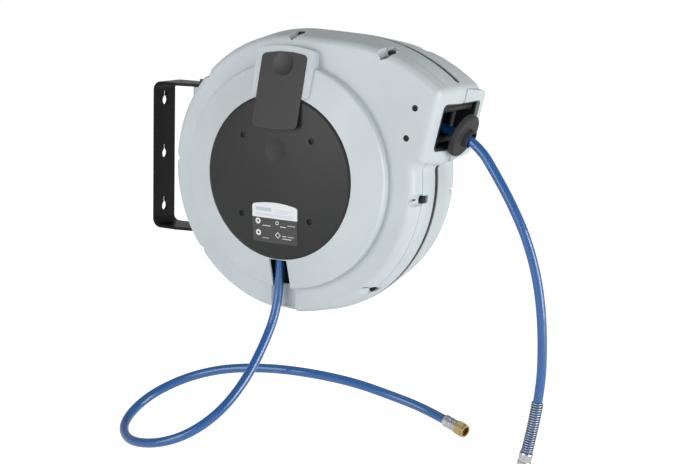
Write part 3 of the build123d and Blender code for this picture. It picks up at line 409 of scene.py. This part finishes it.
def build_finishes():
    """One finish for each of the record's material slots."""
    tints = settings()[1]
    coupler_lean = (0, math.radians(-11.15), 0)
    return {
        "housing": moulded("Housing Grey Plastic", tuple(tints.housing), 0.40, 700, 0.16, 0.035,
                           0.35, 0.0012, 0.10, (0.78, 0.80, 0.81), Coat_Weight=0.12,
                           Coat_Roughness=0.25),
        "cover": moulded("Cover Dark Plastic", tuple(tints.cover), 0.42, 1500, 0.22, 0.10, 0.5,
                         0.0010, 0.025, (0.12, 0.12, 0.115), Specular_IOR_Level=0.36),
        "label": printed_label("Rating Label"),
        # Near-black seal rubber; on the gasket in the groove between the front and rear shells this
        # dark colour is painted shade that stands in for the shadow in that recess.
        "rubber": moulded("Seal Rubber Painted Groove Shade", (0.017, 0.017, 0.018), 0.62, 1100, 0.30, 0.2, 0.4, 0.0006,
                          0.12, (0.09, 0.09, 0.09)),
        "black_plastic": moulded("Outlet Black Nylon", (0.012, 0.012, 0.013), 0.45, 1300, 0.2, 0.15,
                                 0.4, 0.0006, 0.05, (0.10, 0.10, 0.10)),
        "drum_plastic": moulded("Drum Dark Plastic", (0.045, 0.045, 0.048), 0.55, 900, 0.25, 0.12,
                                0.4, 0.0008, 0.05, (0.16, 0.16, 0.16)),
        "strap": moulded("Strap Powder Coat", tuple(tints.strap), 0.36, 520, 0.22, 0.15, 0.30,
                         0.0006, 0.004, (0.05, 0.052, 0.055), Coat_Weight=0.04,
                         Coat_Roughness=0.18, Specular_IOR_Level=0.14),
        "bolt": machined("Bolt Black Zinc", (0.10, 0.10, 0.105), 0.34, (0.05, 0.05, 0.052)),
        "dark_screw": machined("Screw Black Oxide", (0.035, 0.035, 0.038), 0.40,
                               (0.02, 0.02, 0.021), turn=(math.radians(90), 0, 0)),
        "steel": machined("Turned Steel", (0.52, 0.53, 0.55), 0.28, (0.36, 0.35, 0.34),
                          turn=(math.radians(90), 0, 0)),
        "spring_steel": machined("Spring Wire", (0.50, 0.53, 0.58), 0.22, (0.30, 0.31, 0.33), 3500),
        "hose": braided_hose("Hose Inside Runs", False),
        "ferrule": machined("Crimped Ferrule", (0.66, 0.67, 0.69), 0.20, (0.45, 0.45, 0.46),
                            turn=coupler_lean),
        "brass": machined("Turned Brass", (0.68, 0.50, 0.22), 0.24, (0.44, 0.31, 0.14),
                          turn=coupler_lean),
        "sleeve": machined("Sleeve Nickel", (0.60, 0.60, 0.61), 0.25, (0.42, 0.41, 0.40),
                           turn=coupler_lean),
    }


# ---- mesh helpers -------------------------------------------------------------------------------

def deselect():
    if bpy.context.object and bpy.context.object.mode != "OBJECT":
        bpy.ops.object.mode_set(mode="OBJECT")
    bpy.ops.object.select_all(action="DESELECT")


def smooth_line(name, route, steps):
    """The points along a route's NURBS line, in metres, evenly close together."""
    curve = bpy.data.curves.new(name, "CURVE")
    curve.dimensions = "3D"
    spline = curve.splines.new("NURBS")
    spline.points.add(len(route) - 1)
    for point, place in zip(spline.points, route):
        point.co = (*(c * MM for c in place), 1)
    spline.order_u = 3
    spline.use_endpoint_u = True
    spline.resolution_u = steps
    line = bpy.data.objects.new(name, curve)
    mesh = bpy.data.meshes.new_from_object(line)
    points = [v.co.copy() for v in mesh.vertices]
    bpy.data.objects.remove(line)
    bpy.data.curves.remove(curve)
    bpy.data.meshes.remove(mesh)
    return points


def distances(points):
    run = [0.0]
    for a, b in zip(points, points[1:]):
        run.append(run[-1] + (b - a).length)
    return run


def frames_along(points):
    """At each point, two directions across the line that turn as little as they can."""
    ways = [(b - a).normalized() for a, b in zip(points, points[1:])]
    ways.append(ways[-1])
    across = Vector((0, 1, 0)) if abs(ways[0].y) < 0.9 else Vector((1, 0, 0))
    side = ways[0].cross(across).normalized()
    sides = []
    for way in ways:
        side = (side - way * side.dot(way)).normalized()
        sides.append((side, way.cross(side)))
    return sides


def tube_mesh(name, points, radius, around=ROUND_STEPS):
    """A closed tube along points; its UV map "along" has U round it and V metres down it."""
    run = distances(points)
    mesh = bpy.data.meshes.new(name)
    made = bmesh.new()
    uv = made.loops.layers.uv.new("along")
    rings = []
    for place, (side, up) in zip(points, frames_along(points)):
        ring = []
        for step in range(around):
            turn = 2 * math.pi * step / around
            out = side * math.cos(turn) + up * math.sin(turn)
            ring.append(made.verts.new(place + out * radius))
        rings.append(ring)
    for row, (low, high) in enumerate(zip(rings, rings[1:])):
        for step in range(around):
            after = (step + 1) % around
            face = made.faces.new((low[step], low[after], high[after], high[step]))
            for loop, (u, v) in zip(face.loops, ((step, row), (step + 1, row), (step + 1, row + 1),
                                                 (step, row + 1))):
                loop[uv].uv = (u / around, run[v])
    made.faces.new(list(reversed(rings[0])))
    made.faces.new(rings[-1])
    bmesh.ops.recalc_face_normals(made, faces=made.faces)
    made.to_mesh(mesh)
    made.free()
    mesh.shade_smooth()
    piece = bpy.data.objects.new(name, mesh)
    bpy.context.scene.collection.objects.link(piece)
    return piece


def sharpen_ends(piece):
    deselect()
    piece.select_set(True)
    bpy.context.view_layer.objects.active = piece
    bpy.ops.object.shade_smooth_by_angle(angle=math.radians(50))
    deselect()


def finish_piece(piece, material, body):
    piece.data.materials.clear()
    piece.data.materials.append(material)
    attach(piece, body)


# ---- the pieces ---------------------------------------------------------------------------------

class HOSEREEL_OT_finishes(bpy.types.Operator):
    """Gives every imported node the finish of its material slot"""
    bl_idname = "hose_reel.finishes"
    bl_label = "Finishes"

    def execute(self, context):
        build_groups()
        finishes = build_finishes()
        for part in frame["record"]["subparts"]:
            node = NODES[part["node"]]
            for place in node.material_slots:
                place.material = finishes[part["material_slot"]]
        strip = moulded("Strip Black Plastic", tuple(settings()[1].strip), 0.36, 1500, 0.2, 0.1,
                        0.5, 0.0009, 0.06, (0.12, 0.12, 0.12))
        for place in NODES["cover_strip"].material_slots:
            place.material = strip
        return {"FINISHED"}


class HOSEREEL_OT_inlet_hose(bpy.types.Operator):
    """Adds the inlet hose, from under the round cover to its swivel nut"""
    bl_idname = "hose_reel.inlet_hose"
    bl_label = "Inlet hose"

    def execute(self, context):
        hoses = settings()[0]
        points = smooth_line("inlet_line", INLET_ROUTE, 14)
        hose = tube_mesh("inlet_hose_tube", points, hoses.diameter / 2)
        sharpen_ends(hose)
        finish_piece(hose, braided_hose("Hose Braid", True), "reel")
        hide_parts("inlet_hose")
        return {"FINISHED"}


class HOSEREEL_OT_working_hose(bpy.types.Operator):
    """Adds the working hose, from the outlet to its coupler, with the spring guard"""
    bl_idname = "hose_reel.working_hose"
    bl_label = "Working hose"

    def execute(self, context):
        hoses = settings()[0]
        points = smooth_line("working_line", WORKING_ROUTE, 24)
        hose = tube_mesh("working_hose_tube", points, hoses.diameter / 2)
        sharpen_ends(hose)
        finish_piece(hose, bpy.data.materials["Hose Braid"], "reel")
        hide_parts("working_hose")
        guard = self.guard(points, hoses)
        wire_steel = NODES["spring_guard"].material_slots[0].material
        finish_piece(guard, wire_steel, "reel")
        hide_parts("spring_guard")
        return {"FINISHED"}

    def guard(self, points, hoses):
        """A wire coil of even turns that follows the hose's last stretch."""
        run = distances(points)
        start = run[-1] - GUARD_LENGTH
        sides = frames_along(points)
        steps = hoses.turns * TURN_STEPS
        centre = hoses.diameter / 2 + hoses.wire / 2
        wire = []
        here = 0
        for step in range(steps + 1):
            far = start + hoses.wire / 2 + (GUARD_LENGTH - hoses.wire) * step / steps
            while here < len(run) - 2 and run[here + 1] < far:
                here += 1
            part = (far - run[here]) / (run[here + 1] - run[here])
            place = points[here].lerp(points[here + 1], part)
            side, up = sides[here]
            turn = 2 * math.pi * hoses.turns * step / steps
            wire.append(place + (side * math.cos(turn) + up * math.sin(turn)) * centre)
        return tube_mesh("spring_guard_coil", wire, hoses.wire / 2, WIRE_STEPS)


class HOSEREEL_OT_stage(bpy.types.Operator):
    """Adds the floor and backdrop, the soft lights and the camera"""
    bl_idname = "hose_reel.stage"
    bl_label = "Stage"

    def execute(self, context):
        stage = settings()[2]
        self.camera()
        self.backdrop(stage)
        middle = Vector((HUB_X, 0, 0))
        self.light("key_light", (-0.5, -2.6, 0.6), middle, 1.8, stage.key)
        self.light("fill_light", (2.9, -0.1, 0.35), middle, 1.4, stage.fill)
        view = bpy.context.scene.view_settings
        view.view_transform = "Standard"
        world = bpy.data.worlds.new("Soft Room")
        bpy.context.scene.world = world
        world.use_nodes = True
        graph = Graph(world.node_tree)
        upward = graph.node("ShaderNodeSeparateXYZ", {
            0: graph.node("ShaderNodeTexCoord").outputs["Generated"]}).outputs["Z"]
        room = graph.span(upward, 0.05, 0.6, stage.sky, stage.sky * 0.45)
        seen = graph.node("ShaderNodeLightPath").outputs["Is Camera Ray"]
        brightness = graph.math("MAXIMUM", room, seen)
        sky = world.node_tree.nodes["Background"]
        sky.inputs["Color"].default_value = (1, 1, 1, 1)
        graph.put(sky.inputs["Strength"], brightness)
        return {"FINISHED"}

    def camera(self):
        angles = (CAMERA_AZIMUTH, CAMERA_ELEVATION, CAMERA_ROLL)
        turn, lift, roll = (math.radians(v) for v in angles)
        ahead = Vector((-math.sin(turn) * math.cos(lift), math.cos(turn) * math.cos(lift),
                        -math.sin(lift)))
        level = Vector((math.cos(turn), math.sin(turn), 0))
        upright = level.cross(ahead)
        right = level * math.cos(roll) + upright * math.sin(roll)
        up = upright * math.cos(roll) - level * math.sin(roll)
        data = bpy.data.cameras.new("front_view")
        data.sensor_width = 36
        data.lens = CAMERA_LENS
        data.clip_end = 50
        camera = bpy.data.objects.new("front_view", data)
        bpy.context.scene.collection.objects.link(camera)
        turned = Matrix((right, up, -ahead)).transposed()
        camera.matrix_world = Matrix.Translation(CAMERA_AT) @ turned.to_4x4()
        bpy.context.scene.camera = camera

    def backdrop(self, stage):
        floor = CAD_BOX[0][2] - 0.004
        deselect()
        bpy.ops.mesh.primitive_plane_add(size=14, location=(HUB_X, 0, floor))
        sheet = bpy.context.object
        sheet.name = "studio_floor"
        bpy.ops.object.transform_apply(location=True)
        material, graph, shader = new_material("Studio Paper", Roughness=0.9,
                                               Emission_Color=(1, 1, 1))
        seen = graph.node("ShaderNodeLightPath").outputs["Is Camera Ray"]
        graph.put(shader.inputs["Emission Strength"], graph.span(seen, 0, 1, 0.30, 0.74))
        place = graph.node("ShaderNodeTexCoord").outputs["Object"]
        fibre = graph.span(graph.noise(place, 9.0, 4, 0.6), 0.3, 0.7)
        graph.put(shader.inputs["Base Color"],
                  graph.mix(fibre, tuple(c * 0.985 for c in stage.paper), tuple(stage.paper)))
        sheet.data.materials.append(material)
        deselect()

    def light(self, name, place, target, size, power):
        data = bpy.data.lights.new(name, "AREA")
        data.shape = "SQUARE"
        data.size = size
        data.energy = power
        lamp = bpy.data.objects.new(name, data)
        bpy.context.scene.collection.objects.link(lamp)
        lamp.location = place
        lamp.rotation_euler = (target - Vector(place)).to_track_quat("-Z", "Y").to_euler()


class HOSEREEL_PT_sidebar(bpy.types.Panel):
    """Hose reel settings and steps"""
    bl_label = "Hose Reel"
    bl_space_type = "VIEW_3D"
    bl_region_type = "UI"
    bl_category = "Hose Reel"

    def draw(self, context):
        for group in settings():
            box = self.layout.box()
            for key in group.bl_rna.properties.keys():
                if key not in ("rna_type", "name"):
                    box.prop(group, key)
        for step in STEPS:
            self.layout.operator("hose_reel." + step)


# ---- running ------------------------------------------------------------------------------------

STEPS = ("stage", "finishes", "inlet_hose", "working_hose")
CLASSES = (HoseReelHoses, HoseReelFinishes, HoseReelStage, HOSEREEL_OT_stage,
           HOSEREEL_OT_finishes, HOSEREEL_OT_inlet_hose, HOSEREEL_OT_working_hose,
           HOSEREEL_PT_sidebar)
POINTERS = {"hose_reel_hoses": HoseReelHoses, "hose_reel_finishes": HoseReelFinishes,
            "hose_reel_stage": HoseReelStage}


def register():
    for kind in CLASSES:
        bpy.utils.register_class(kind)
    for name, kind in POINTERS.items():
        setattr(bpy.types.Scene, name, PointerProperty(type=kind))


def unregister():
    for name in POINTERS:
        delattr(bpy.types.Scene, name)
    for kind in reversed(CLASSES):
        bpy.utils.unregister_class(kind)


def main():
    register()
    for step in STEPS:
        getattr(bpy.ops.hose_reel, step)()


if __name__ == "__main__":
    main()
